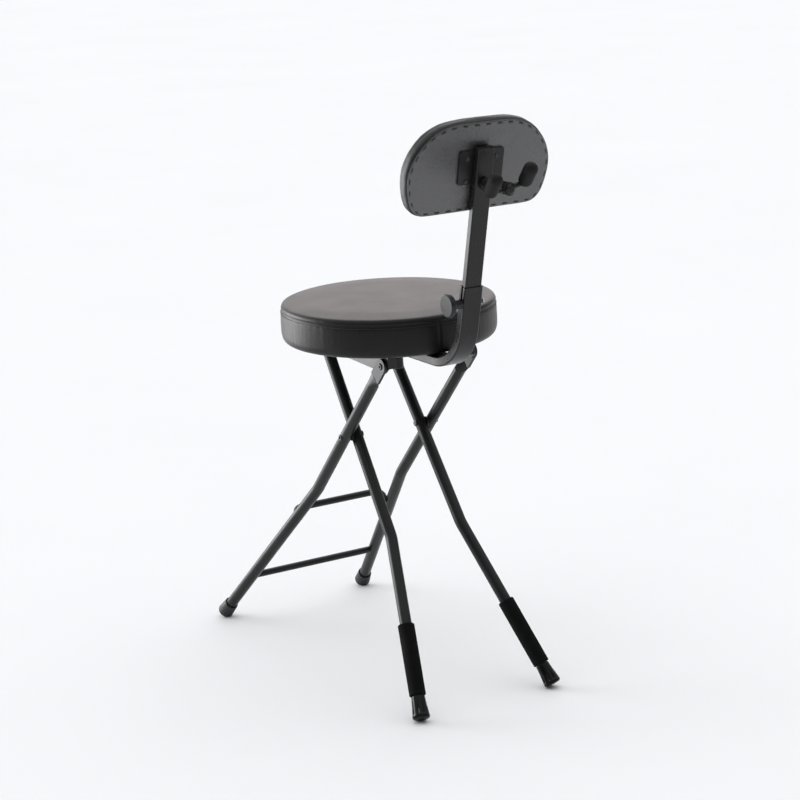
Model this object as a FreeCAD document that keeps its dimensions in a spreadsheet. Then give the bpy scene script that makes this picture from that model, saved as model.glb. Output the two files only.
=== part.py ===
import FreeCAD, Part
import Sketcher
import math
import os

# Folding musician's stool: round padded seat on a scissor frame of bent tube,
# sliding backrest on a flat post, and a swivelling two-prong hanger behind it.
# Millimetres, +Z up, sitter faces -Y, +X is the sitter's left.
# The origin is on the floor, at the middle of the outer box.

V = FreeCAD.Vector
doc = FreeCAD.newDocument("folding_stool")

# ---------------------------------------------------------------- dimensions
SIZES = [
    ("seat_radius", 191.5), ("seat_bottom", 608.0), ("seat_top", 676.0),
    ("seat_crown", 2.5), ("seat_round_top", 13.0), ("seat_round_low", 9.0),
    ("board_radius", 176.0), ("board_thick", 12.0),
    ("leg_dia", 21.0), ("leg_wall", 1.5), ("leg_bend", 70.0),
    ("hinge_back", 126.3), ("hinge_height", 589.0), ("front_side", 89.0),
    ("front_bend_back", -134.8), ("front_bend_height", 310.9),
    ("front_foot_side", 155.6), ("front_foot_back", -432.9),
    ("cross_back", -19.2), ("rear_cross_side", 66.4),
    ("rear_bend_side", 71.8), ("rear_bend_back", 97.4), ("rear_bend_height", 272.6),
    ("rear_foot_side", 137.2), ("rear_foot_back", 288.2),
    ("tab_thick", 5.0), ("tab_wide", 27.0), ("tab_shift", 2.5),
    ("topbar_dia", 22.0), ("topbar_height", 594.0), ("topbar_half", 82.0),
    ("bar_dia", 12.7), ("bar_wall", 1.2), ("low_bar_height", 101.2),
    ("rest_height", 236.0), ("rest_reach", 25.0), ("rest_bend", 14.0), ("rest_inset", 12.0),
    ("front_foot_radius", 15.4), ("front_foot_long", 31.5), ("front_foot_round", 4.0),
    ("rear_foot_radius", 15.4), ("rear_foot_long", 40.5), ("rear_foot_round", 3.0),
    ("sole_cut", 1.2), ("sleeve_radius", 14.5), ("sleeve_long", 128.0),
    ("rivet_radius", 3.6), ("rivet_head", 5.6), ("hinge_pin", 4.0), ("run_gap", 0.1),
    ("rail_inner", 85.5), ("rail_thick", 2.5), ("rail_flange", 27.5),
    ("rail_front", -165.0), ("rail_rear", 143.0),
    ("jtube_wide", 36.0), ("jtube_deep", 17.0), ("jtube_wall", 1.5),
    ("jtube_mid", 595.5), ("tube_corner", 2.6), ("jtube_front", 1.0), ("jtube_turn", 174.0),
    ("jtube_bend", 89.5), ("jtube_rise", 78.5), ("lean", 13.7),
    ("post_wide", 32.0), ("post_deep", 13.0), ("post_wall", 1.5),
    ("post_low", 62.0), ("post_high", 240.0), ("clamp_down", 30.0),
    ("knob_radius", 20.2), ("knob_thick", 13.0), ("knob_neck", 15.6), ("stud_radius", 3.0),
    ("under_back", 18.0), ("under_radius", 13.4), ("under_low", 553.0), ("under_stud", 4.0),
    ("plate_wide", 84.0), ("plate_tall", 58.0), ("plate_thick", 3.0), ("plate_low", 179.0),
    ("panel_thick", 2.0), ("back_thick", 31.5), ("back_board", 10.0), ("back_round", 11.0),
    ("hang_height", 916.0), ("hang_back", 397.0), ("hang_half", 34.0), ("hang_tilt", 8.9),
    ("prong_radius", 12.0), ("prong_long", 36.3), ("fork_rod", 4.5), ("swivel_pin", 6.0),
]
sheet = doc.addObject("Spreadsheet::Sheet", "dims")
for i, (name, value) in enumerate(SIZES, 1):
    sheet.set("A%d" % i, name)
    sheet.set("B%d" % i, str(value))
    sheet.setAlias("B%d" % i, name)
doc.recompute()


class Q:
    """A number together with the sheet formula that drives it."""

    def __init__(self, v, t):
        self.v = float(v)
        self.t = t

    @staticmethod
    def of(o):
        return o if isinstance(o, Q) else Q(o, "%.6f" % float(o))

    def __add__(self, o):
        o = Q.of(o)
        return Q(self.v + o.v, "(%s + %s)" % (self.t, o.t))

    def __sub__(self, o):
        o = Q.of(o)
        return Q(self.v - o.v, "(%s - %s)" % (self.t, o.t))

    def __mul__(self, o):
        o = Q.of(o)
        return Q(self.v * o.v, "(%s * %s)" % (self.t, o.t))

    def __truediv__(self, o):
        o = Q.of(o)
        return Q(self.v / o.v, "(%s / %s)" % (self.t, o.t))

    def __neg__(self):
        return Q(-self.v, "(0 - %s)" % self.t)


D = {name: Q(sheet.get(name), "dims." + name) for name, _ in SIZES}


def val(q):
    return q.v if isinstance(q, Q) else float(q)


def n(name):
    return D[name].v


def bind(obj, prop, q):
    if isinstance(q, Q):
        obj.setExpression(prop, q.t)


# ---------------------------------------------------------------- sketch helpers
def plane(body, role):
    for f in body.Origin.OriginFeatures:
        if f.Role == role:
            return f


def sketch(body, name, role, lift=0.0):
    sk = body.newObject("Sketcher::SketchObject", name)
    sk.AttachmentSupport = [(plane(body, role), "")]
    sk.MapMode = "FlatFace"
    if lift:
        sk.AttachmentOffset = FreeCAD.Placement(V(0, 0, lift), FreeCAD.Rotation())
    return sk


def fix_point(sk, gi, pos, qx, qy):
    for kind, q, axis in (("DistanceX", qx, -2), ("DistanceY", qy, -1)):
        v = val(q)
        if abs(v) < 1e-9:
            sk.addConstraint(Sketcher.Constraint("PointOnObject", gi, pos, axis))
        elif v > 0:
            c = sk.addConstraint(Sketcher.Constraint(kind, -1, 1, gi, pos, v))
            bind(sk, "Constraints[%d]" % c, q)
        else:
            c = sk.addConstraint(Sketcher.Constraint(kind, gi, pos, -1, 1, -v))
            bind(sk, "Constraints[%d]" % c, -q if isinstance(q, Q) else None)


def polygon(sk, pts):
    first = sk.GeometryCount
    k = len(pts)
    for i in range(k):
        a, b = pts[i], pts[(i + 1) % k]
        sk.addGeometry(Part.LineSegment(V(val(a[0]), val(a[1]), 0), V(val(b[0]), val(b[1]), 0)), False)
    for i in range(k):
        sk.addConstraint(Sketcher.Constraint("Coincident", first + i, 2, first + (i + 1) % k, 1))
    for i, (x, y) in enumerate(pts):
        fix_point(sk, first + i, 1, x, y)


def ring_edge(radius, height):
    def pick(e):
        c = e.Curve
        return hasattr(c, "Radius") and hasattr(c, "Center") and abs(c.Radius - val(radius)) < 0.01 and abs(c.Center.z - val(height)) < 0.01
    return pick


def round_edges(body, pick, radius, tag):
    tip = body.Tip
    names = ["Edge%d" % (i + 1) for i, e in enumerate(tip.Shape.Edges) if pick(e)]
    f = body.newObject("PartDesign::Fillet", tag)
    f.Base = (tip, names)
    f.Radius = val(radius)
    bind(f, "Radius", radius)
    body.Tip = f
    doc.recompute()


def turned(name, pts, base, direction, rounds=()):
    """Body turned about its own Z axis; pts are (radius, height)."""
    b = doc.addObject("PartDesign::Body", name)
    sk = sketch(b, name + "_profile", "XZ_Plane")
    polygon(sk, pts)
    r = b.newObject("PartDesign::Revolution", name + "_turn")
    r.Profile = sk
    r.ReferenceAxis = (sk, ["V_Axis"])
    r.Angle = 360
    b.Tip = r
    doc.recompute()
    for k, (pick, rad) in enumerate(rounds):
        round_edges(b, pick, rad, "%s_round%d" % (name, k))
    b.Placement = FreeCAD.Placement(base, FreeCAD.Rotation(V(0, 0, 1), direction))
    return b


def padded(name, role, pts, length, lift=0.0, base=None, reverse=False):
    """Body padded from a polygon."""
    b = doc.addObject("PartDesign::Body", name)
    sk = sketch(b, name + "_outline", role, lift)
    polygon(sk, pts)
    p = b.newObject("PartDesign::Pad", name + "_pad")
    p.Profile = sk
    p.Length = val(length)
    bind(p, "Length", length)
    p.Reversed = reverse
    b.Tip = p
    if base is not None:
        b.Placement = base
    return b


def add_pad(body, tag, role, pts, length, lift=0.0, reverse=False):
    sk = sketch(body, tag + "_outline", role, lift)
    polygon(sk, pts)
    p = body.newObject("PartDesign::Pad", tag)
    p.Profile = sk
    p.Length = val(length)
    bind(p, "Length", length)
    p.Reversed = reverse
    body.Tip = p
    return p


# ---------------------------------------------------------------- solid helpers
def cyl(name, p0, p1, rad):
    c = doc.addObject("Part::Cylinder", name)
    d = p1 - p0
    c.Radius = val(rad)
    c.Height = d.Length
    bind(c, "Radius", rad)
    c.Placement = FreeCAD.Placement(p0, FreeCAD.Rotation(V(0, 0, 1), d))
    return c


def box(name, size, base, rot=None, corner=None):
    """Box from its lower corner, in a frame given by base and rot."""
    b = doc.addObject("Part::Box", name)
    for prop, q in zip(("Length", "Width", "Height"), size):
        setattr(b, prop, val(q))
        bind(b, prop, q)
    rot = rot or FreeCAD.Rotation()
    off = corner or V(0, 0, 0)
    b.Placement = FreeCAD.Placement(base + rot.multVec(off), rot)
    return b


def elbow(name, t1, u1, u2, bend, rad):
    inward = u2 - u1 * u1.dot(u2)
    inward.normalize()
    ctr = t1 + inward * val(bend)
    t = doc.addObject("Part::Torus", name)
    t.Radius1 = val(bend)
    t.Radius2 = val(rad)
    t.Angle3 = math.degrees(u1.getAngle(u2))
    bind(t, "Radius1", bend)
    bind(t, "Radius2", rad)
    x = inward * -1
    y = V(u1)
    z = x.cross(y)
    t.Placement = FreeCAD.Placement(FreeCAD.Matrix(
        x.x, y.x, z.x, ctr.x, x.y, y.y, z.y, ctr.y, x.z, y.z, z.z, ctr.z, 0, 0, 0, 1))
    return t


def fuse(name, objs):
    f = doc.addObject("Part::MultiFuse", name)
    f.Shapes = objs
    return f


def cut(name, base, tool):
    c = doc.addObject("Part::Cut", name)
    c.Base = base
    c.Tool = tool
    return c


def group(name, objs):
    c = doc.addObject("Part::Compound", name)
    c.Links = objs
    return c


def mirrored(name, src):
    m = doc.addObject("Part::Mirroring", name)
    m.Source = src
    m.Normal = V(1, 0, 0)
    m.Base = V(0, 0, 0)
    return m


def rod(name, pts, bend, rad):
    """Round bar through the points, with bends of one radius."""
    pieces = []
    dirs = []
    for i in range(len(pts) - 1):
        d = pts[i + 1] - pts[i]
        d.normalize()
        dirs.append(d)
    start = pts[0]
    for i in range(1, len(pts) - 1):
        u1, u2 = dirs[i - 1], dirs[i]
        back = val(bend) * math.tan(u1.getAngle(u2) / 2)
        t1 = pts[i] - u1 * back
        pieces.append(cyl("%s_run%d" % (name, i), start, t1, rad))
        pieces.append(elbow("%s_bend%d" % (name, i), t1, u1, u2, bend, rad))
        start = pts[i] + u2 * back
    pieces.append(cyl("%s_run%d" % (name, len(pts) - 1), start, pts[-1], rad))
    return pieces[0] if len(pieces) == 1 else fuse(name, pieces)


NODES = {}

# ---------------------------------------------------------------- frame points
leg_r = D["leg_dia"] / 2
bore_r = leg_r - D["leg_wall"]
H = V(n("front_side"), n("hinge_back"), n("hinge_height"))
K = V(n("front_side"), n("front_bend_back"), n("front_bend_height"))
F = V(n("front_foot_side"), n("front_foot_back"), 0)
up_dir = H - K
up_dir.normalize()
low_dir = F - K
low_dir.normalize()
t = (n("cross_back") - H.y) / (K.y - H.y)
P = V(n("front_side"), n("cross_back"), H.z + t * (K.z - H.z))
K2 = V(n("rear_bend_side"), n("rear_bend_back"), n("rear_bend_height"))
P2 = V(n("rear_cross_side"), P.y, P.z)
F2 = V(n("rear_foot_side"), n("rear_foot_back"), 0)
rise = (P2 - K2) * (1.0 / (P2.z - K2.z))
T = K2 + rise * (n("topbar_height") - K2.z)
low2_dir = F2 - K2
low2_dir.normalize()
X = V(1, 0, 0)
Z = V(0, 0, 1)
floor = box("floor_cut", (1200, 1400, 60), V(-600, -700, -60))


def flat_xy(d):
    return math.sqrt(d.x * d.x + d.y * d.y)


def foot_end(F0, d, r, rnd):
    """End of the foot's axis, set so the sole is trimmed flat at the floor."""
    z = (r - rnd) * flat_xy(d) + rnd * (1 + d.z) - n("sole_cut")
    return F0 - d * (z / -d.z)


E = foot_end(F, low_dir, n("front_foot_radius"), n("front_foot_round"))
E2 = foot_end(F2, low2_dir, n("rear_foot_radius"), n("rear_foot_round"))
foot_wall = 4.0

# ---------------------------------------------------------------- front legs
top_start = H - up_dir * 54.0
leg_end = E - low_dir * foot_wall
outer = rod("front_leg_outer", [top_start, K, leg_end], D["leg_bend"], leg_r)
inner = rod("front_leg_bore", [top_start, K, leg_end], D["leg_bend"], bore_r)
tube = cut("front_leg_tube", outer, inner)

# flattened end: round section easing into a flat tab, rounded about the hinge
tab_mid = H + X * n("tab_shift")
sec_round = doc.addObject("Part::Circle", "tab_section_round")
sec_round.Radius = leg_r.v
bind(sec_round, "Radius", leg_r)
sec_flat = doc.addObject("Part::Ellipse", "tab_section_flat")
sec_flat.MajorRadius = n("tab_wide") / 2 + 0.6
sec_flat.MinorRadius = n("tab_thick") / 2 + 0.4
bind(sec_flat, "MajorRadius", D["tab_wide"] / 2 + 0.6)
bind(sec_flat, "MinorRadius", D["tab_thick"] / 2 + 0.4)
across = up_dir.cross(X)
frame_m = FreeCAD.Matrix(across.x, -1, up_dir.x, 0, across.y, 0, up_dir.y, 0, across.z, 0, up_dir.z, 0, 0, 0, 0, 1)
tab_rot = FreeCAD.Placement(frame_m).Rotation
sec_round.Placement = FreeCAD.Placement(top_start, tab_rot)
sec_flat.Placement = FreeCAD.Placement(tab_mid - up_dir * 33.0, tab_rot)
ease = doc.addObject("Part::Loft", "tab_ease")
ease.Sections = [sec_round, sec_flat]
ease.Solid = True
ease.Ruled = False
tab_half = n("tab_thick") / 2
tab_disc = cyl("tab_disc", tab_mid - X * tab_half, tab_mid + X * tab_half, D["tab_wide"] / 2)
tab_strip = box("tab_strip", (D["tab_wide"], D["tab_thick"], 34.0), tab_mid - up_dir * 34.0, tab_rot,
                V(-n("tab_wide") / 2, -tab_half, 0))
leg_solid = fuse("front_leg_solid", [tube, ease, tab_strip, tab_disc])
hinge_hole = cyl("hinge_hole", H - X * 20, H + X * 30, D["hinge_pin"] + D["run_gap"])
cross_hole = cyl("cross_hole", P - X * 30, P + X * 30, D["rivet_radius"])
NODES["front_leg_left"] = cut("front_leg_left", cut("front_leg_hinged", leg_solid, hinge_hole), cross_hole)
NODES["front_leg_right"] = mirrored("front_leg_right", NODES["front_leg_left"])
outer_right = mirrored("front_leg_outer_right", outer)

# ---------------------------------------------------------------- bars between the front legs
bar_r = D["bar_dia"] / 2


def on_front_leg(z):
    k = z / K.z
    return F + (K - F) * k


b0 = on_front_leg(n("low_bar_height"))
low_solid = cut("low_bar_tube", cyl("low_bar_outer", V(-b0.x, b0.y, b0.z), b0, bar_r),
                cyl("low_bar_bore", V(-b0.x, b0.y, b0.z), b0, bar_r - D["bar_wall"]))
NODES["low_bar"] = cut("low_bar", cut("low_bar_left_fit", low_solid, outer), outer_right)

q0 = on_front_leg(n("rest_height")) - X * n("rest_inset")
out = V(0, low_dir.z, -low_dir.y)
out.normalize()
q1 = q0 + out * n("rest_reach")
rest_pts = [q0, q1, V(-q1.x, q1.y, q1.z), V(-q0.x, q0.y, q0.z)]
rest_solid = rod("foot_rest_outer", rest_pts, D["rest_bend"], bar_r)
rest_bore = rod("foot_rest_bore", rest_pts, D["rest_bend"], bar_r - D["bar_wall"])
rest_tube = cut("foot_rest_tube", rest_solid, rest_bore)
NODES["foot_rest"] = cut("foot_rest", cut("foot_rest_left_fit", rest_tube, outer), outer_right)

# ---------------------------------------------------------------- front feet
fr, fl = D["front_foot_radius"], D["front_foot_long"]
foot = turned("front_foot_turned", [
    (0, 0), (fr, 0), (fr - 0.6, 7.0), (fr - 2.4, fl - 0.8), (fr - 2.9, fl), (fr - 3.4, fl), (fr - 3.6, fl - 3.6),
    (leg_r, fl - 3.6), (leg_r, foot_wall), (0, foot_wall)],
    E, low_dir * -1, [(ring_edge(fr, 0), D["front_foot_round"])])
NODES["front_foot_left"] = cut("front_foot_left", foot, floor)
NODES["front_foot_right"] = mirrored("front_foot_right", NODES["front_foot_left"])

# ---------------------------------------------------------------- rear legs
leg2_end = E2 - low2_dir * foot_wall
outer2 = rod("rear_leg_outer", [T, K2, leg2_end], D["leg_bend"], leg_r)
inner2 = rod("rear_leg_bore", [T, K2, leg2_end], D["leg_bend"], bore_r)
half = n("topbar_half")
bar_outer = cyl("top_bar_outer", V(-half, T.y, T.z), V(half, T.y, T.z), D["topbar_dia"] / 2)
bar_bore = cyl("top_bar_bore", V(-half, T.y, T.z), V(half, T.y, T.z), D["topbar_dia"] / 2 - D["leg_wall"])
NODES["top_bar"] = cut("top_bar", bar_outer, bar_bore)
cross_run = cyl("cross_run", P2 - X * 30, P2 + X * 30, D["rivet_radius"] + D["run_gap"])
NODES["rear_leg_left"] = cut("rear_leg_left", cut("rear_leg_fit", cut("rear_leg_tube", outer2, inner2), bar_outer), cross_run)
NODES["rear_leg_right"] = mirrored("rear_leg_right", NODES["rear_leg_left"])

rr, rl = D["rear_foot_radius"], D["rear_foot_long"]
foot2 = turned("rear_foot_turned", [
    (0, 0), (rr, 0), (rr, 6.0), (rr - 0.5, 7.0), (rr - 3.0, rl - 1.2), (rr - 3.8, rl), (leg_r, rl),
    (leg_r, foot_wall), (0, foot_wall)],
    E2, low2_dir * -1, [(ring_edge(rr, 0), D["rear_foot_round"])])
NODES["rear_foot_left"] = cut("rear_foot_left", foot2, floor)
NODES["rear_foot_right"] = mirrored("rear_foot_right", NODES["rear_foot_left"])

sr, sl = D["sleeve_radius"], D["sleeve_long"]
NODES["sleeve_left"] = turned("sleeve_left", [
    (leg_r, 0), (sr - 1.5, 0), (sr, 1.5), (sr, sl - 1.5), (sr - 1.5, sl), (leg_r, sl)],
    E2 - low2_dir * (rl.v + 1.0), low2_dir * -1)
NODES["sleeve_right"] = mirrored("sleeve_right", NODES["sleeve_left"])

# ---------------------------------------------------------------- rivets where the frames cross
rv, rh = D["rivet_radius"], D["rivet_head"]
out_face = n("front_side") + leg_r.v
in_face = n("rear_cross_side") - leg_r.v
shank = out_face - in_face + 0.6
rivet = turned("cross_rivet_left", [
    (0, -1.3), (rh - 1.6, -1.3), (rh, -0.5), (rh, 0), (rv, 0), (rv, shank), (rh, shank), (rh, shank + 0.6),
    (rh - 1.4, shank + 1.5), (2.4, shank + 1.5), (2.0, shank - 1.5), (0, shank - 1.5)], V(in_face - 0.5, P.y, P.z), X)
NODES["cross_rivets"] = group("cross_rivets", [rivet, mirrored("cross_rivet_right", rivet)])
gap0 = n("rear_cross_side") + leg_r.v
washer = turned("cross_washer_left", [(rv, 0), (9.0, 0), (9.0, 1.1), (rv, 1.1)], V(gap0 + 0.35, P.y, P.z), X)
NODES["cross_washers"] = group("cross_washers", [washer, mirrored("cross_washer_right", washer)])

# ---------------------------------------------------------------- seat
zb, zt, sr0, br = D["seat_bottom"], D["seat_top"], D["seat_radius"], D["board_radius"]
NODES["seat_cushion"] = turned("seat_cushion", [
    (0, zb + D["board_thick"]), (br, zb + D["board_thick"]), (br, zb), (sr0, zb), (sr0, zt), (0, zt + D["seat_crown"])],
    V(0, 0, 0), Z, [(ring_edge(sr0, zt), D["seat_round_top"]), (ring_edge(sr0, zb), D["seat_round_low"])])
board = turned("seat_board_disc", [(0, zb), (br, zb), (br, zb + D["board_thick"]), (0, zb + D["board_thick"])], V(0, 0, 0), Z)

# side rails: web, inward flange, turned-in rear end
ri, rt = D["rail_inner"], D["rail_thick"]
y0, y1 = D["rail_front"], D["rail_rear"]
rail = padded("rail_folded", "YZ_Plane", [
    (y0, zb), (y0, 588.5), (132.0, 577.0), (y1, 586.0), (y1, zb)], rt, lift=0.0,
    base=FreeCAD.Placement(V(ri.v, 0, 0), FreeCAD.Rotation()))
add_pad(rail, "rail_flange_pad", "YZ_Plane", [(y0, zb - rt), (y1, zb - rt), (y1, zb), (y0, zb)], D["rail_flange"], reverse=True)
add_pad(rail, "rail_end_pad", "YZ_Plane", [(y1 - rt, 586.0), (y1, 586.0), (y1, zb), (y1 - rt, zb)], 14.0, reverse=True)
hinge_fit = cyl("hinge_fit", H - X * 20, H + X * 30, D["hinge_pin"])
rail_x = ri.v - 13.0
screw_at = [V(rail_x, -100, 0), V(rail_x, -10, 0), V(rail_x, 60, 0), V(rail_x, 112, 0)]
plate_at = [V(36, 16, 0), V(36, 114, 0)]


def wood_screw(tag, at, under, long):
    """Pan head below the sheet, shank up into the board."""
    return turned(tag, [(0, -2.4), (2.6, -2.4), (4.2, -1.2), (4.2, 0), (2.0, 0), (2.0, long - 2.0), (0, long)],
                  V(at.x, at.y, under), Z)


rail_screws = [wood_screw("rail_screw%d" % i, a, zb.v - rt.v, 12.0) for i, a in enumerate(screw_at)]
plate_screws = [wood_screw("plate_screw%d" % i, a, zb.v - 4.0, 13.0) for i, a in enumerate(plate_at)]
rail_group = group("rail_screws_left", rail_screws)
plate_group = group("plate_screws_left", plate_screws)
NODES["rail_screws"] = group("rail_screws", [rail_group, mirrored("rail_screws_right", rail_group)])
NODES["plate_screws"] = group("plate_screws", [plate_group, mirrored("plate_screws_right", plate_group)])
NODES["rail_left"] = cut("rail_left", cut("rail_pinned", rail, hinge_fit), rail_group)
NODES["rail_right"] = mirrored("rail_right", NODES["rail_left"])

pin, pin_x = D["hinge_pin"], ri.v - 0.05
span = n("front_side") + n("tab_shift") + tab_half + 0.35 - pin_x
hinge_rivet = turned("hinge_rivet_left", [
    (0, -1.8), (4.6, -1.8), (6.2, -0.6), (6.2, 0), (pin, 0), (pin, span), (5.8, span), (5.8, span + 0.6),
    (4.6, span + 1.6), (2.6, span + 1.6), (2.2, span - 1.2), (0, span - 1.2)], V(pin_x, H.y, H.z), X)
NODES["hinge_rivets"] = group("hinge_rivets", [hinge_rivet, mirrored("hinge_rivet_right", hinge_rivet)])
hinge_washer = turned("hinge_washer_left", [(pin, 0), (10.0, 0), (10.0, 0.7), (pin, 0.7)], V(ri.v + rt.v, H.y, H.z), X)
NODES["hinge_washers"] = group("hinge_washers", [hinge_washer, mirrored("hinge_washer_right", hinge_washer)])

# stop blocks the folding frame's top bar rests against
stop = box("bar_stop_block", (12.5, 25.0, 19.5), V(73.0, T.y - 30.2, 586.0))
stop_groove = cyl("bar_stop_groove", V(60, T.y, T.z), V(95, T.y, T.z), D["topbar_dia"] / 2 + 0.4)
NODES["bar_stop_left"] = cut("bar_stop_left", stop, stop_groove)
NODES["bar_stop_right"] = mirrored("bar_stop_right", NODES["bar_stop_left"])

# ---------------------------------------------------------------- bent back support
lean = math.radians(n("lean"))
turn = math.pi / 2 - lean
jb, jz, jy = n("jtube_bend"), n("jtube_mid"), n("jtube_turn")
j_end = V(0, jy + jb * math.sin(turn), jz + jb - jb * math.cos(turn))
s_dir = V(0, math.sin(lean), math.cos(lean))
M = j_end + s_dir * n("jtube_rise")
back_rot = FreeCAD.Rotation(X, -n("lean"))
back_at = FreeCAD.Placement(M, back_rot)


def strip_sketch(sk, lo, hi, front, extra):
    """Closed strip between two offsets of the bent centre line."""
    def line(o):
        r = jb - o
        a = V(front, jz + o, 0)
        b = V(jy, jz + o, 0)
        c = V(jy + r * math.sin(turn), jz + jb - r * math.cos(turn), 0)
        d = c + V(math.cos(turn), math.sin(turn), 0) * (n("jtube_rise") + extra)
        return a, b, c, d, r
    a, b, c, d, r = line(lo)
    a2, b2, c2, d2, r2 = line(hi)
    ctr = V(jy, jz + jb, 0)
    up = V(0, 0, 1)
    geo = [Part.LineSegment(a, b),
           Part.ArcOfCircle(Part.Circle(ctr, up, r), -math.pi / 2, -math.pi / 2 + turn),
           Part.LineSegment(c, d), Part.LineSegment(d, d2), Part.LineSegment(d2, c2),
           Part.ArcOfCircle(Part.Circle(ctr, up, r2), -math.pi / 2, -math.pi / 2 + turn),
           Part.LineSegment(b2, a2), Part.LineSegment(a2, a)]
    for g in geo:
        i = sk.addGeometry(g, False)
        sk.addConstraint(Sketcher.Constraint("Block", i))


def strip_body(name, lo, hi, front, extra, wide):
    b = doc.addObject("PartDesign::Body", name)
    sk = sketch(b, name + "_outline", "YZ_Plane")
    strip_sketch(sk, lo, hi, front, extra)
    p = b.newObject("PartDesign::Pad", name + "_pad")
    p.Profile = sk
    p.Length = val(wide)
    bind(p, "Length", wide)
    b.Tip = p
    b.Placement = FreeCAD.Placement(V(-val(wide) / 2, 0, 0), FreeCAD.Rotation())
    return b


jd, jw = n("jtube_deep") / 2, n("jtube_wall")
j_out = strip_body("jtube_skin", -jd, jd, n("jtube_front"), 0.0, D["jtube_wide"])
doc.recompute()
round_edges(j_out, lambda e: e.BoundBox.XLength < 0.01 and e.Length > 20.0, D["tube_corner"], "jtube_skin_round")
j_in = strip_body("jtube_bore", -jd + jw, jd - jw, n("jtube_front") - 5, 5.0, D["jtube_wide"] - D["jtube_wall"] * 2)
clamp = M - s_dir * n("clamp_down")
slit = box("jtube_slit", (8.0, 4.5, 31.0), M, back_rot, V(n("jtube_wide") / 2 - 5.0, -2.25, -n("clamp_down")))
stud_hole = cyl("jtube_stud_hole", clamp - X * 30, clamp + X * 30, D["stud_radius"] + 0.3)
under_at = V(0, n("under_back"), 0)
under_hole = cyl("jtube_under_hole", under_at + Z * 540, under_at + Z * 616, D["under_stud"] + 0.3)
j_tools = fuse("jtube_cuts", [slit, stud_hole, under_hole])
NODES["back_support"] = cut("back_support", cut("jtube_tube", j_out, j_in), j_tools)

mount = box("mount_plate_flat", (90.0, 128.0, 4.0), V(-45, 2, zb.v - 4.0))
mount_holed = cut("mount_plate_holed", mount, under_hole)
NODES["mount_plate"] = cut("mount_plate", mount_holed, NODES["plate_screws"])
board_holed = cut("seat_board_holed", board, under_hole)
board_screwed = cut("seat_board_screwed", board_holed, NODES["rail_screws"])
NODES["seat_board"] = cut("seat_board", board_screwed, NODES["plate_screws"])

# ---------------------------------------------------------------- clamp knob, its stud and nut
kr, kt, kn, st = D["knob_radius"], D["knob_thick"], D["knob_neck"], D["stud_radius"]
knob_base = clamp + X * (n("jtube_wide") / 2 + 0.4)
NODES["post_knob"] = turned("post_knob", [
    (st, 0), (8.0, 0), (8.0, kn - 3.0), (10.5, kn - 1.5), (kr - 1.0, kn + 4.0), (kr, kn + 6.0), (kr, kn + kt - 2.0),
    (kr - 2.2, kn + kt), (0, kn + kt), (0, kn + 5.0), (st, kn + 5.0)], knob_base, X,
    [(ring_edge(kr, kn + kt - 2.0), 1.6), (ring_edge(kr, kn + 6.0), 2.0)])
stud_long = n("jtube_wide") / 2 + 9.0 + n("jtube_wide") / 2 + 0.4 + kn.v + 5.0
NODES["post_stud"] = turned("post_stud", [(0, 0), (st - 0.6, 0), (st, 0.6), (st, stud_long), (0, stud_long)],
                            clamp - X * (n("jtube_wide") / 2 + 9.0), X)
nut = doc.addObject("Part::Prism", "clamp_nut_hex")
nut.Polygon = 6
nut.Circumradius = 5.9
nut.Height = 5.0
nut.Placement = FreeCAD.Placement(clamp - X * (n("jtube_wide") / 2 + 5.0), FreeCAD.Rotation(Z, X))
NODES["clamp_nut"] = cut("clamp_nut", nut, cyl("clamp_nut_bore", clamp - X * 40, clamp + X * 5, st + 0.08))

# ---------------------------------------------------------------- knob under the seat and its stud
ur, us = D["under_radius"], D["under_stud"]
uz = n("under_low")
j_low = n("jtube_mid") - jd
NODES["under_knob"] = turned("under_knob", [
    (0, 0), (ur - 1.5, 0), (ur, 1.5), (ur - 0.6, 19.0), (ur - 2.0, 20.5), (10.0, 20.5), (10.0, j_low - 0.4 - uz),
    (us, j_low - 0.4 - uz), (us, 8.0), (0, 8.0)], under_at + Z * uz, Z)
NODES["under_stud"] = turned("under_stud", [(0, 0), (us, 0), (us, 615.0 - uz - 9.0), (us - 1.0, 615.0 - uz - 8.0), (0, 615.0 - uz - 8.0)],
                             under_at + Z * (uz + 8.0), Z)

# ---------------------------------------------------------------- post
pw, pd, pt = D["post_wide"], D["post_deep"], D["post_wall"]
plow, phigh = D["post_low"], D["post_high"]
post_box = padded("post_skin", "XY_Plane", [(-(pw / 2), -(pd / 2)), (pw / 2, -(pd / 2)), (pw / 2, pd / 2), (-(pw / 2), pd / 2)],
                  plow + phigh, base=FreeCAD.Placement(M - s_dir * plow.v, back_rot))
doc.recompute()
round_edges(post_box, lambda e: e.Length > 100.0, D["tube_corner"], "post_skin_round")
post_hollow = box("post_hollow", (pw - pt * 2, pd - pt * 2, plow + phigh + 2), M, back_rot,
                  V(-pw.v / 2 + pt.v, -pd.v / 2 + pt.v, -plow.v - 1))
slot_w = 6.9
slot_mid = box("post_slot_mid", (60.0, slot_w, 36.0), M, back_rot, V(-30, -slot_w / 2, -51.0))
slot_a = cyl("post_slot_low", M - s_dir * 51.0 - X * 30, M - s_dir * 51.0 + X * 30, slot_w / 2)
slot_b = cyl("post_slot_high", M - s_dir * 15.0 - X * 30, M - s_dir * 15.0 + X * 30, slot_w / 2)
hz = n("hang_height")
post_y = M.y + (hz - M.z) * math.tan(lean)
pin_r = D["swivel_pin"]
hang_y = n("hang_back")
stem_rod = cyl("hanger_stem_rod", V(0, post_y - 5.0, hz), V(0, hang_y + 9.4, hz), pin_r)
stem_collar = cyl("hanger_stem_collar", V(0, hang_y - 16.0, hz), V(0, hang_y - 11.4, hz), pin_r + 3.5)
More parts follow.
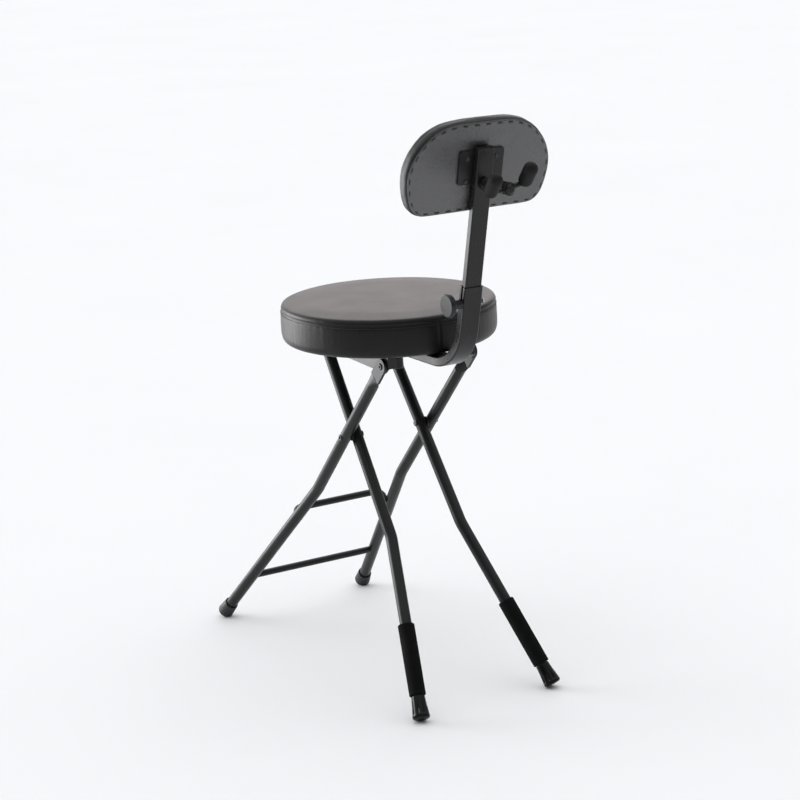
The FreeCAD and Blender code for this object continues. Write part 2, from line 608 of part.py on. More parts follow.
stem_cap = turned("hanger_stem_cap", [(0, 0), (9.0, 0), (9.0, 2.0), (6.0, 4.5), (0, 5.0)], V(0, hang_y + 9.4, hz), V(0, 1, 0))
stem_foot = cyl("hanger_stem_foot", V(0, post_y + 2.0, hz), V(0, post_y + 15.0, hz), pin_r + 4.0)
post_tube = cut("post_tube", post_box, fuse("post_cuts", [post_hollow, slot_mid, slot_a, slot_b]))
NODES["post"] = cut("post", post_tube, stem_rod)
stem_raw = fuse("hanger_stem_raw", [stem_rod, stem_collar, stem_cap, stem_foot])
NODES["hanger_stem"] = cut("hanger_stem", stem_raw, NODES["post"])
cap = padded("post_cap_top", "XY_Plane", [(-(pw / 2), -(pd / 2)), (pw / 2, -(pd / 2)), (pw / 2, pd / 2), (-(pw / 2), pd / 2)],
             3.0, base=FreeCAD.Placement(M + s_dir * phigh.v, back_rot))
doc.recompute()
round_edges(cap, lambda e: abs(e.Length - 3.0) < 0.01, D["tube_corner"], "post_cap_corner")
round_edges(cap, lambda e: abs(e.BoundBox.ZMin - e.BoundBox.ZMax) < 0.01 and e.BoundBox.ZMin > 2.9, 1.2, "post_cap_edge")
plug = box("post_cap_plug", (pw - pt * 2, pd - pt * 2, 10.0), M, back_rot,
           V(-pw.v / 2 + pt.v, -pd.v / 2 + pt.v, phigh.v - 9.0))
NODES["post_cap"] = fuse("post_cap", [cap, plug])

# ---------------------------------------------------------------- backrest
plo, ptk, pnl = D["plate_low"], D["plate_thick"], D["panel_thick"]
front = pd.v / 2
half_plate = D["plate_wide"] / 2
plate = padded("back_plate_flat", "XZ_Plane", [(-half_plate, plo), (half_plate, plo), (half_plate, plo + D["plate_tall"]),
               (-half_plate, plo + D["plate_tall"])], ptk, lift=front, base=back_at)
doc.recompute()
round_edges(plate, lambda e: abs(e.Length - ptk.v) < 0.01 and e.BoundBox.YLength > 1.0, 4.0, "back_plate_corner")
screw_pos = [(sx * 27.0, w) for sx in (-1, 1) for w in (plo.v + 5.5, plo.v + 44.5)]
back_screws = []
for i, (sx, w) in enumerate(screw_pos):
    at = M + back_rot.multVec(V(sx, -front, w))
    back_screws.append(turned("back_screw%d" % i, [
        (0, -13.0), (2.0, -12.0), (2.0, 0), (4.3, 0), (4.3, 0.9), (3.0, 2.4), (0, 2.6)],
        at, back_rot.multVec(V(0, 1, 0))))
NODES["back_screws"] = group("back_screws", back_screws)
NODES["back_plate"] = cut("back_plate", plate, NODES["back_screws"])

HALF = [(0, 129), (50, 129), (92, 129.2), (108, 131), (119.5, 137.5), (128, 149), (134, 167), (137.5, 187),
        (137.2, 206), (132.3, 224.5), (123, 242.5), (110, 258.3), (95, 270.3), (78, 278.6), (60, 283), (40, 284.8)]


def outline(inset):
    """Backrest outline as one closed curve, drawn in by inset."""
    mid_w = 205.0
    pts = []
    for x, w in HALF:
        kw = w - mid_w
        pts.append(V(x * (1 - inset / 138.0), mid_w + kw * (1 - inset / (76.0 if kw < 0 else 80.0)), 0))
    top = V(0, mid_w + 80.0 - inset, 0)
    curve = Part.BSplineCurve()
    curve.interpolate(pts + [top] + [V(-p.x, p.y, 0) for p in reversed(pts[1:])], PeriodicFlag=True)
    return [curve]


def slab(name, inset, depth, long):
    """Backrest layer of the given outline, from depth in front of the post's middle, going forward."""
    b = doc.addObject("PartDesign::Body", name)
    sk = sketch(b, name + "_outline", "XZ_Plane", lift=depth)
    for g in outline(inset):
        i = sk.addGeometry(g, False)
        sk.addConstraint(Sketcher.Constraint("Block", i))
    p = b.newObject("PartDesign::Pad", name + "_pad")
    p.Profile = sk
    p.Length = val(long)
    bind(p, "Length", long)
    b.Tip = p
    doc.recompute()
    b.Placement = back_at
    return b


rear = front + ptk.v
panel = slab("back_panel_skin", 3.0, rear, pnl)
NODES["back_panel"] = cut("back_panel", panel, NODES["back_screws"])
wood = slab("back_board_blank", 6.0, rear + pnl.v, D["back_board"])
pad = slab("back_pad_block", 0.0, rear + pnl.v, D["back_thick"])
far = -(rear + pnl.v + n("back_thick"))
round_edges(pad, lambda e: abs(e.BoundBox.YMin - far) < 0.01 and abs(e.BoundBox.YMax - far) < 0.01, D["back_round"], "back_pad_front_round")
near = -(rear + pnl.v)
round_edges(pad, lambda e: abs(e.BoundBox.YMin - near) < 0.01 and abs(e.BoundBox.YMax - near) < 0.01, 3.0, "back_pad_rear_round")
NODES["back_pad"] = cut("back_pad", pad, wood)
NODES["back_board"] = cut("back_board", wood, NODES["back_screws"])

# ---------------------------------------------------------------- hanger
tilt = FreeCAD.Rotation(V(0, 1, 0), n("hang_tilt"))
axis_at = V(0, 0, hz)


def tilted(p):
    return axis_at + tilt.multVec(p - axis_at)


hub = turned("fork_hub", [(pin_r + 0.06, 0), (11.0, 0), (11.0, 20.0), (pin_r + 0.06, 20.0)], V(0, hang_y - 11.0, hz), V(0, 1, 0))
hx = n("hang_half")
up45 = V(0, math.sqrt(0.5), math.sqrt(0.5))
arms = []
corner = {}
for tag, sx in (("left", 1), ("right", -1)):
    c0 = V(sx * hx, hang_y, hz)
    corner[tag] = c0
    pts = [tilted(V(sx * 8.5, hang_y, hz)), tilted(c0), tilted(c0 + up45 * n("prong_long"))]
    arms.append(rod("fork_arm_" + tag, pts, 9.0, D["fork_rod"]))
NODES["hanger_fork"] = fuse("hanger_fork", [hub] + arms)
pr, pl = D["prong_radius"], n("prong_long") - 8.5
for tag in ("left", "right"):
    s0 = tilted(corner[tag] + up45 * 8.5)
    s1 = tilted(corner[tag] + up45 * n("prong_long"))
    grip = cyl("grip_run_" + tag, s0, s1, pr)
    ball0 = doc.addObject("Part::Sphere", "grip_low_" + tag)
    ball1 = doc.addObject("Part::Sphere", "grip_high_" + tag)
    for ball, at in ((ball0, s0), (ball1, s1)):
        ball.Radius = pr.v
        bind(ball, "Radius", pr)
        ball.Placement = FreeCAD.Placement(at, FreeCAD.Rotation(Z, s1 - s0))
    whole = fuse("grip_whole_" + tag, [grip, ball0, ball1])
    NODES["prong_grip_" + tag] = cut("prong_grip_" + tag, whole, NODES["hanger_fork"])

# ---------------------------------------------------------------- write
doc.recompute()
bad = []
for o in doc.Objects:
    if any(s in ("Invalid", "Error") for s in o.State):
        bad.append("%s: %s" % (o.Name, o.State))
for name, o in NODES.items():
    s = o.Shape
    if s.isNull() or not s.isValid() or s.Volume <= 0:
        bad.append("%s: bad shape" % name)
if bad:
    raise RuntimeError("; ".join(bad))
os.makedirs("parts", exist_ok=True)
whole = FreeCAD.BoundBox()
for name, o in NODES.items():
    o.Shape.exportStep("parts/%s.step" % name)
    whole.add(o.Shape.BoundBox)
    print("%-18s solids %d  volume %10.1f" % (name, len(o.Shape.Solids), o.Shape.Volume))
print("box", [round(v, 2) for v in (whole.XMin, whole.XMax, whole.YMin, whole.YMax, whole.ZMin, whole.ZMax)])
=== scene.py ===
import math
import bpy
import bmesh
from mathutils import Vector, Matrix, noise


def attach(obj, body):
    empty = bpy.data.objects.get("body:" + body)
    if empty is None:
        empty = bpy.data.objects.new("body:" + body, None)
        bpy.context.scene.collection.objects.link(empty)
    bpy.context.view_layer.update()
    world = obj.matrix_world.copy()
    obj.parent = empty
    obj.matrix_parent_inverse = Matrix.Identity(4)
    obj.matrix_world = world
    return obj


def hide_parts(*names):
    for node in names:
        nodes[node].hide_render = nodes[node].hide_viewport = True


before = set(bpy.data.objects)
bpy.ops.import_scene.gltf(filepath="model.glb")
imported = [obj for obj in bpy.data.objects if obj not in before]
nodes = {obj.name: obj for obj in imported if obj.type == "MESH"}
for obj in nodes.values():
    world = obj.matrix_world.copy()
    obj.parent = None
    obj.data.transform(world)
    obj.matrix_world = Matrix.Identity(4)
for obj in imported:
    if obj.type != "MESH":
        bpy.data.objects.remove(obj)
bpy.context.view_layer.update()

scene = bpy.context.scene
MM = 0.001


# ---------------------------------------------------------------- node helpers
class Mat:
    """A node material around one principled shader."""

    def __init__(self, name):
        self.m = bpy.data.materials.new(name)
        self.m.use_nodes = True
        self.t = self.m.node_tree
        self.t.nodes.clear()
        self.out = self.t.nodes.new("ShaderNodeOutputMaterial")
        self.b = self.t.nodes.new("ShaderNodeBsdfPrincipled")
        self.t.links.new(self.b.outputs[0], self.out.inputs[0])
        self.coord = self.t.nodes.new("ShaderNodeTexCoord").outputs["Object"]
        self.normal = None

    def node(self, kind, **props):
        n = self.t.nodes.new(kind)
        for k, v in props.items():
            setattr(n, k, v)
        return n

    def link(self, a, b):
        self.t.links.new(a, b)

    def noise(self, scale, detail=3.0, rough=0.5, dist=0.0, vec=None):
        n = self.node("ShaderNodeTexNoise")
        n.inputs["Scale"].default_value = scale
        n.inputs["Detail"].default_value = detail
        n.inputs["Roughness"].default_value = rough
        n.inputs["Distortion"].default_value = dist
        self.link(vec or self.coord, n.inputs["Vector"])
        return n.outputs["Fac"]

    def voronoi(self, scale, feature="DISTANCE_TO_EDGE", vec=None, rand=1.0):
        n = self.node("ShaderNodeTexVoronoi")
        n.feature = feature
        n.inputs["Scale"].default_value = scale
        n.inputs["Randomness"].default_value = rand
        self.link(vec or self.coord, n.inputs["Vector"])
        return n.outputs["Distance"]

    def stretch(self, sx, sy, sz):
        n = self.node("ShaderNodeMapping")
        n.inputs["Scale"].default_value = (sx, sy, sz)
        self.link(self.coord, n.inputs["Vector"])
        return n.outputs[0]

    def ramp(self, fac, stops):
        r = self.node("ShaderNodeValToRGB")
        e = r.color_ramp.elements
        while len(e) < len(stops):
            e.new(0.5)
        for el, (p, c) in zip(e, stops):
            el.position = p
            el.color = (c[0], c[1], c[2], 1.0) if isinstance(c, (tuple, list)) else (c, c, c, 1.0)
        self.link(fac, r.inputs["Fac"])
        return r.outputs["Color"]

    def range(self, fac, a, b, c, d):
        n = self.node("ShaderNodeMapRange")
        for k, v in zip(("From Min", "From Max", "To Min", "To Max"), (a, b, c, d)):
            n.inputs[k].default_value = v
        self.link(fac, n.inputs["Value"])
        return n.outputs["Result"]

    def math(self, op, a, b):
        n = self.node("ShaderNodeMath", operation=op)
        for i, v in enumerate((a, b)):
            if isinstance(v, (int, float)):
                n.inputs[i].default_value = v
            else:
                self.link(v, n.inputs[i])
        return n.outputs[0]

    def mix(self, fac, a, b):
        n = self.node("ShaderNodeMix", data_type="RGBA")
        self.link(fac, n.inputs["Factor"])
        for key, v in (("A", a), ("B", b)):
            s = [i for i in n.inputs if i.name == key and i.type == "RGBA"][0]
            if isinstance(v, tuple):
                s.default_value = (v[0], v[1], v[2], 1.0)
            else:
                self.link(v, s)
        return [o for o in n.outputs if o.type == "RGBA"][0]

    def bump(self, height, strength, distance):
        n = self.node("ShaderNodeBump")
        n.inputs["Strength"].default_value = strength
        n.inputs["Distance"].default_value = distance
        self.link(height, n.inputs["Height"])
        if self.normal is not None:
            self.link(self.normal, n.inputs["Normal"])
        self.normal = n.outputs["Normal"]

    def soft_edges(self, radius):
        """Rounded-edge normals, and a mask that is 1 on edges."""
        n = self.node("ShaderNodeBevel", samples=6)
        n.inputs["Radius"].default_value = radius
        g = self.node("ShaderNodeNewGeometry")
        d = self.node("ShaderNodeVectorMath", operation="DOT_PRODUCT")
        self.link(n.outputs[0], d.inputs[0])
        self.link(g.outputs["True Normal"], d.inputs[1])
        self.normal = n.outputs[0]
        return self.range(d.outputs["Value"], 0.985, 0.86, 0.0, 1.0)

    def done(self, color=None, rough=None, **fixed):
        if color is not None:
            self.link(color, self.b.inputs["Base Color"])
        if rough is not None:
            self.link(rough, self.b.inputs["Roughness"])
        if self.normal is not None:
            self.link(self.normal, self.b.inputs["Normal"])
        for k, v in fixed.items():
            self.b.inputs[k.replace("_", " ")].default_value = v
        return self.m


def powder(name, dark, light, rough, spec=0.4):
    """Black powder coat: faint orange peel, tone drift, edges rubbed a little paler."""
    m = Mat(name)
    edge = m.soft_edges(0.0009)
    tone = m.ramp(m.noise(9.0, 4.0, 0.6), [(0.3, dark), (0.7, light)])
    speck = m.range(m.noise(260.0, 2.0), 0.35, 0.75, 0.0, 1.0)
    worn = m.math("MULTIPLY", edge, m.range(m.noise(70.0, 3.0), 0.42, 0.66, 0.15, 0.75))
    col = m.mix(worn, tone, (0.12, 0.12, 0.122))
    r = m.math("ADD", m.range(m.noise(14.0, 3.0), 0.3, 0.7, rough - 0.05, rough + 0.06), m.math("MULTIPLY", speck, 0.03))
    m.bump(m.noise(620.0, 2.0, 0.55), 0.07, 0.0005)
    return m.done(col, r, Specular_IOR_Level=spec)


def vinyl(name, dark, light, rough, grain=1.0, spec=0.28, drawn=None, ior=1.5):
    """Grained black vinyl: pebble cells, creases, sheen and slow tone drift; the grain valleys are painted darker as
    shade.
    """
    m = Mat(name)
    warp = m.node("ShaderNodeVectorMath", operation="ADD")
    w = m.node("ShaderNodeTexNoise")
    w.inputs["Scale"].default_value = 150.0
    w.inputs["Detail"].default_value = 2.0
    m.link(m.coord, w.inputs["Vector"])
    sc = m.node("ShaderNodeVectorMath", operation="SCALE")
    sc.inputs["Scale"].default_value = 0.0022
    m.link(w.outputs["Color"], sc.inputs[0])
    m.link(m.coord, warp.inputs[0])
    m.link(sc.outputs[0], warp.inputs[1])
    cells = m.range(m.voronoi(620.0, vec=warp.outputs[0]), 0.0, 0.32, 0.0, 1.0)
    pores = m.range(m.voronoi(1500.0, "F1", vec=warp.outputs[0]), 0.0, 0.5, 0.0, 1.0)
    crease = m.range(m.noise(46.0, 6.0, 0.62, 0.6), 0.44, 0.5, 0.0, 1.0)
    tone = m.ramp(m.noise(7.0, 4.0, 0.55), [(0.28, dark), (0.72, light)])
    # painted shade: the valleys between the pebble cells are darkened in the base colour
    col = m.mix(m.range(cells, 0.0, 0.6, 0.55, 0.0), tone, tuple(c * 0.55 for c in dark))
    r = m.math("ADD", m.range(m.noise(18.0, 4.0), 0.3, 0.7, rough - 0.02, rough + 0.02), m.range(cells, 0.0, 1.0, 0.07, 0.0))
    height = m.math("ADD", m.math("MULTIPLY", cells, 0.75), m.math("MULTIPLY", pores, 0.25))
    m.bump(crease, 0.05 * grain, 0.0012)
    if drawn:
        pull = m.noise(120.0, 3.0, 0.6, 0.4, vec=m.stretch(*drawn))
        m.bump(pull, 0.45, 0.0016)
    m.bump(height, 0.30 * grain, 0.0004)
    return m.done(col, r, Specular_IOR_Level=spec, IOR=ior)


def moulded(name, dark, light, rough, grain, spec=0.5, edge_r=0.0007):
    """Moulded plastic or rubber: spark-eroded grain, faint flow streaks, handled edges."""
    m = Mat(name)
    edge = m.soft_edges(edge_r)
    tone = m.ramp(m.noise(24.0, 4.0, 0.6, 0.4), [(0.3, dark), (0.7, light)])
    col = m.mix(m.math("MULTIPLY", edge, 0.35), tone, tuple(min(1.0, c * 2.4) for c in light))
    r = m.range(m.noise(60.0, 3.0), 0.3, 0.7, rough - 0.05, rough + 0.06)
    m.bump(m.noise(900.0, 2.0, 0.6), grain, 0.0004)
    m.bump(m.noise(90.0, 2.0, 0.5), 0.05, 0.0008)
    return m.done(col, r, Specular_IOR_Level=spec)


def foam(name):
    """Closed-cell foam sleeve: matte skin with fine open cells and shallow dents; the open-cell pits are painted darker
    as shade.
    """
    m = Mat(name)
    cells = m.range(m.voronoi(1300.0, "F1"), 0.0, 0.55, 0.0, 1.0)
    tone = m.ramp(m.noise(30.0, 4.0, 0.6), [(0.3, (0.0035, 0.0035, 0.0036)), (0.7, (0.006, 0.006, 0.0062))])
    # painted shade: the pits of the open cells are darkened in the base colour
    col = m.mix(m.range(cells, 0.0, 0.35, 0.6, 0.0), tone, (0.002, 0.002, 0.002))
    m.bump(m.noise(85.0, 3.0, 0.5), 0.12, 0.001)
    m.bump(cells, 0.35, 0.0004)
    return m.done(col, m.range(m.noise(40.0), 0.3, 0.7, 0.82, 0.94), Specular_IOR_Level=0.1)


def metal(name, dark, light, rough, metallic):
    """Turned or pressed hardware: fine scratches and slight tarnish."""
    m = Mat(name)
    edge = m.soft_edges(0.0004)
    tone = m.ramp(m.noise(120.0, 4.0, 0.6), [(0.3, dark), (0.7, light)])
    col = m.mix(m.math("MULTIPLY", edge, 0.5), tone, tuple(min(1.0, c * 1.8) for c in light))
    scr = m.noise(500.0, 3.0, 0.6, vec=m.stretch(1.0, 14.0, 1.0))
    m.bump(scr, 0.1, 0.0002)
    return m.done(col, m.range(m.noise(160.0), 0.3, 0.7, rough - 0.06, rough + 0.08), Metallic=metallic)


def plywood(name):
    """Black-stained plywood: long grain on the face, ply lines on the edge."""
    m = Mat(name)
    g = m.noise(26.0, 8.0, 0.6, 1.2, vec=m.stretch(1.0, 9.0, 6.0))
    ply = m.node("ShaderNodeTexWave", wave_type="BANDS", bands_direction="Z")
    ply.inputs["Scale"].default_value = 95.0
    ply.inputs["Distortion"].default_value = 0.6
    m.link(m.coord, ply.inputs["Vector"])
    col = m.ramp(g, [(0.25, (0.018, 0.016, 0.015)), (0.55, (0.03, 0.027, 0.025)), (0.8, (0.042, 0.037, 0.033))])
    col = m.mix(m.range(ply.outputs["Fac"], 0.3, 0.8, 0.25, 0.0), col, (0.012, 0.011, 0.01))
    m.bump(g, 0.2, 0.0006)
    return m.done(col, m.range(g, 0.2, 0.8, 0.72, 0.58))


def thread(name, dark, light):
    """Twisted sewing thread; the twist grooves are painted darker and the ridges lighter as shade."""
    m = Mat(name)
    twist = m.noise(1400.0, 2.0, 0.5, 0.5)
    m.bump(twist, 0.5, 0.0003)
    # painted shade: the base colour follows the twist bump, darker in its grooves and lighter on its ridges
    return m.done(m.ramp(twist, [(0.3, dark), (0.7, light)]), m.range(twist, 0.3, 0.7, 0.55, 0.75), Sheen_Weight=0.2)


M_FRAME = powder("frame_powder", (0.0085, 0.0085, 0.0088), (0.014, 0.014, 0.0145), 0.32, 0.28)
M_FLAT = powder("flat_steel_powder", (0.0105, 0.0102, 0.0105), (0.0165, 0.016, 0.0165), 0.28, 0.3)
M_SEAT = vinyl("seat_vinyl", (0.0095, 0.0088, 0.009), (0.0135, 0.0125, 0.0128), 0.31, 1.0, 0.2)
M_BACK = vinyl("back_vinyl", (0.0085, 0.0084, 0.0088), (0.0145, 0.0143, 0.015), 0.4, 1.1, 0.34)
M_PANEL = vinyl("panel_vinyl", (0.012, 0.0121, 0.013), (0.019, 0.0191, 0.0205), 0.27, 1.0, 1.0, (2.4, 1.0, 0.8), 1.62)
M_RUBBER = moulded("foot_rubber_dark", (0.018, 0.018, 0.0183), (0.03, 0.03, 0.0305), 0.55, 0.3, 0.4)
M_GLOSS = moulded("foot_gloss_dark", (0.004, 0.004, 0.0043), (0.0065, 0.0065, 0.0069), 0.15, 0.06, 0.15)
M_GRIP = moulded("grip_rubber_dark", (0.006, 0.006, 0.0063), (0.0105, 0.0105, 0.011), 0.66, 0.35, 0.22)
M_KNOB = moulded("knob_plastic_dark", (0.013, 0.0134, 0.0145), (0.021, 0.0216, 0.023), 0.36, 0.22, 0.27)
M_PLUG = moulded("plug_plastic_dark", (0.01, 0.01, 0.0105), (0.016, 0.016, 0.0168), 0.45, 0.25, 0.35)
M_NYLON = moulded("washer_nylon", (0.02, 0.02, 0.02), (0.035, 0.035, 0.035), 0.4, 0.1)
M_FOAM = foam("sleeve_foam")
M_RIVET = metal("rivet_black_steel", (0.03, 0.03, 0.031), (0.055, 0.055, 0.057), 0.36, 0.55)
M_ZINC = metal("zinc_steel", (0.42, 0.43, 0.44), (0.6, 0.61, 0.62), 0.3, 1.0)
M_PLY = plywood("plywood_stained")
M_THREAD = thread("thread_black", (0.006, 0.006, 0.0062), (0.014, 0.014, 0.0145))

for mat_, names in (
    (M_FRAME, "front_leg_left front_leg_right rear_leg_left rear_leg_right low_bar foot_rest top_bar hanger_fork hanger_stem"),
    (M_FLAT, "rail_left rail_right back_support mount_plate post back_plate"),
    (M_RUBBER, "front_foot_left front_foot_right"),
    (M_GLOSS, "rear_foot_left rear_foot_right"),
    (M_FOAM, "sleeve_left sleeve_right"),
    (M_GRIP, "prong_grip_left prong_grip_right"),
    (M_KNOB, "post_knob under_knob"),
    (M_PLUG, "post_cap bar_stop_left bar_stop_right"),
    (M_NYLON, "cross_washers hinge_washers"),
    (M_RIVET, "cross_rivets hinge_rivets back_screws clamp_nut"),
    (M_ZINC, "rail_screws plate_screws post_stud under_stud"),
    (M_PLY, "seat_board back_board"),
    (M_SEAT, "seat_cushion"),
    (M_BACK, "back_pad"),
    (M_PANEL, "back_panel"),
):
    for n_ in names.split():
        slots = nodes[n_].material_slots
        if not slots:
            nodes[n_].data.materials.append(mat_)
        for s_ in slots:
            s_.material = mat_


# ---------------------------------------------------------------- mesh helpers
def new_object(name, verts, faces, material, smooth=True):
    me = bpy.data.meshes.new(name)
    me.from_pydata([tuple(v) for v in verts], [], faces)
    me.validate()
    bm = bmesh.new()
    bm.from_mesh(me)
    bmesh.ops.recalc_face_normals(bm, faces=bm.faces)
    bm.to_mesh(me)
    bm.free()
    me.polygons.foreach_set("use_smooth", [smooth] * len(me.polygons))
    me.materials.append(material)
    o = bpy.data.objects.new(name, me)
    scene.collection.objects.link(o)
    return o


def grid_disc(n):
    """Square grid as (rho, turn) points: rho 0 at the middle to 1 at the rim, turn 0..1 round it."""
    pts, index = [], {}
    for i in range(n + 1):
        for j in range(n + 1):
            u, v = 2 * i / n - 1, 2 * j / n - 1
            rho = max(abs(u), abs(v))
            if rho < 1e-9:
                t = 0.0
            elif abs(u - rho) < 1e-9 and v > -rho + 1e-9 or (abs(u - rho) < 1e-9 and abs(v + rho) < 1e-9):
                t = (v / rho + 1) / 8
            elif abs(v - rho) < 1e-9:
                t = 0.25 + (1 - u / rho) / 8
            elif abs(u + rho) < 1e-9:
                t = 0.5 + (1 - v / rho) / 8
            else:
                t = 0.75 + (u / rho + 1) / 8
            index[i, j] = len(pts)
            pts.append((rho, t % 1.0))
    faces = [(index[i, j], index[i + 1, j], index[i + 1, j + 1], index[i, j + 1]) for i in range(n) for j in range(n)]
    rim = [index[n, j] for j in range(n)] + [index[n - i, n] for i in range(n)] + [index[0, n - j] for j in range(n)] + [index[i, 0] for i in range(n)]
    return pts, faces, rim


def cushion_mesh(name, n, top, rings, low, material):
    """Closed cushion: gridded top and underside joined by rings. top and low take (rho, turn); each ring takes turn."""
    pts, faces, rim = grid_disc(n)
    verts = [top(r, t) for r, t in pts]
    out = list(faces)
    loop = list(rim)
    turns = [pts[k][1] for k in rim]
    for ring in rings:
        start = len(verts)
        verts += [ring(t) for t in turns]
        nxt = list(range(start, start + len(turns)))
        for a in range(len(turns)):
            b = (a + 1) % len(turns)
            out.append((loop[a], loop[b], nxt[b], nxt[a]))
        loop = nxt
    start = len(verts)
    verts += [low(r, t) for r, t in pts]
    out += [tuple(start + k for k in reversed(f)) for f in faces]
    for a in range(len(turns)):
        b = (a + 1) % len(turns)
        out.append((loop[a], loop[b], start + rim[b], start + rim[a]))
    return new_object(name, verts, out, material)


def inflate(obj, pinned, pressure, cap, frames=20):
    """Cloth under pressure, pinned where the cover is fixed; the move of each point is capped and kept."""
    me = obj.data
    rest = [v.co.copy() for v in me.vertices]
    g = obj.vertex_groups.new(name="held")
    held = [i for i, c in enumerate(rest) if pinned(c)]
    g.add(held, 1.0, "REPLACE")
    c = obj.modifiers.new("cover", "CLOTH")
    s = c.settings
    s.quality = 6
    s.mass = 0.25
    s.tension_stiffness = 18.0
    s.compression_stiffness = 18.0
    s.shear_stiffness = 8.0
    s.bending_stiffness = 1.5
    s.air_damping = 2.0
    s.use_pressure = True
    s.uniform_pressure_force = pressure
    s.effector_weights.gravity = 0.0
    s.vertex_group_mass = "held"
    c.collision_settings.use_collision = False
    c.collision_settings.use_self_collision = False
    c.point_cache.frame_start = 1
    c.point_cache.frame_end = frames
    for f in range(1, frames + 1):
        scene.frame_set(f)
    dg = bpy.context.evaluated_depsgraph_get()
    moved = [v.co.copy() for v in obj.evaluated_get(dg).data.vertices]
    obj.modifiers.remove(c)
    scene.frame_set(1)
    obj.vertex_groups.clear()
    for v, a, b in zip(me.vertices, rest, moved):
        d = b - a
        k = d.length
        if k > cap:
            d *= cap / k
        v.co = a + d
    me.update()


def refine(obj, levels=1):
    """One subdivision, kept in the mesh."""
    mod = obj.modifiers.new("sub", "SUBSURF")
    mod.levels = levels
    mod.render_levels = levels
    dg = bpy.context.evaluated_depsgraph_get()
    me = bpy.data.meshes.new_from_object(obj.evaluated_get(dg), depsgraph=dg)
    obj.modifiers.remove(mod)
    old = obj.data
    obj.data = me
    bpy.data.meshes.remove(old)
    me.polygons.foreach_set("use_smooth", [True] * len(me.polygons))


def dashes(name, runs, radius, material, lift=0.0):
    """Short thread stitches: each run is (from, to, outward), arched a little and sunk at both ends."""
    verts, faces = [], []
    sides, steps = 8, 6
    for p0, p1, out in runs:
        along = p1 - p0
        side = along.cross(out).normalized()
        base = len(verts)
        for k in range(steps + 1):
            f = k / steps
            arch = math.sin(math.pi * f)
            c = p0 + along * f + out * (lift * radius + radius * (1.1 * arch ** 0.6 - 0.75))
            r = radius * (0.45 + 0.55 * arch ** 0.5)
            for a in range(sides):
                w = 2 * math.pi * a / sides
                verts.append(c + side * (r * math.cos(w)) + out * (r * math.sin(w)))
        for k in range(steps):
            for a in range(sides):
                b = (a + 1) % sides
                q = base + k * sides
                faces.append((q + a, q + b, q + sides + b, q + sides + a))
        faces.append(tuple(base + a for a in reversed(range(sides))))
        faces.append(tuple(base + steps * sides + a for a in range(sides)))
    return new_object(name, verts, faces, material)


def lathe(name, profile, base, direction, material, segs=96, flute=None):
    """Closed turned shape about an axis; flute(turn, height) scales the radius."""
    q = Vector((0, 0, 1)).rotation_difference(direction.normalized())
    verts, faces = [], []
    rows = []
    for r, z in profile:
        if r < 1e-9:
            rows.append([len(verts)])
            verts.append(base + q @ Vector((0, 0, z)))
            continue
        row = []
        for k in range(segs):
            a = 2 * math.pi * k / segs
            rr = r * (flute(a, z) if flute else 1.0)
            row.append(len(verts))
            verts.append(base + q @ Vector((rr * math.cos(a), rr * math.sin(a), z)))
        rows.append(row)
    for a, b in zip(rows, rows[1:]):
        for k in range(segs):
            j = (k + 1) % segs
            if len(a) == 1 and len(b) == 1:
                continue
            if len(a) == 1:
                faces.append((a[0], b[k], b[j]))
            elif len(b) == 1:
                faces.append((a[k], a[j], b[0]))
            else:
                faces.append((a[k], a[j], b[j], b[k]))
    return new_object(name, verts, faces, material)


def smooth_step(x, a, b):
    f = min(1.0, max(0.0, (x - a) / (b - a)))
    return f * f * (3 - 2 * f)


def bell(x, w):
    return math.exp(-(x / w) ** 2)


# ---------------------------------------------------------------- seat cushion
SEAM_Z = 666.0
R_TOP = 183.5


def seat_top(rho, t):
    r = R_TOP * rho
    z = 678.0 - 0.7 * (r / R_TOP) ** 2 - 1.2 * smooth_step(r, 155, 192)
    a = 2 * math.pi * t
    return Vector((r * math.cos(a), r * math.sin(a), z)) * MM


def seat_ring(r, z):
    def f(t):
        a = 2 * math.pi * t
        return Vector((r * math.cos(a), r * math.sin(a), z)) * MM
    return f


SEAT_SIDE = [(186.0, 675.2), (187.7, 673.8), (188.8, 672.0), (189.5, 670.1), (189.8, 668.4), (189.7, 667.2), (189.4, 666.0),
             (189.7, 664.8), (190.0, 663.0), (190.3, 659.5), (190.6, 655.0), (190.8, 650.0), (190.9, 644.5), (190.9, 639.5),
             (190.8, 634.0), (190.7, 629.0), (190.4, 624.0), (189.6, 619.3), (188.1, 615.2), (185.8, 612.0), (182.6, 609.8), (178.6, 608.7)]


def seat_low(rho, t):
    r = 176.6 * rho
    a = 2 * math.pi * t
    z = 608.4 if rho > 0.995 else 620.2
    return Vector((r * math.cos(a), r * math.sin(a), z)) * MM


seat = cushion_mesh("seat_cover", 64, seat_top, [seat_ring(r, z) for r, z in SEAT_SIDE], seat_low, M_SEAT)
def seat_held(c):
    r, z = math.hypot(c.x, c.y) / MM, c.z / MM
    return z < 612.5 or (z < 620.5 and r < 177) or (z > SEAM_Z - 0.4 and r > 178)
inflate(seat, seat_held, 3.0, 0.0016)
refine(seat)

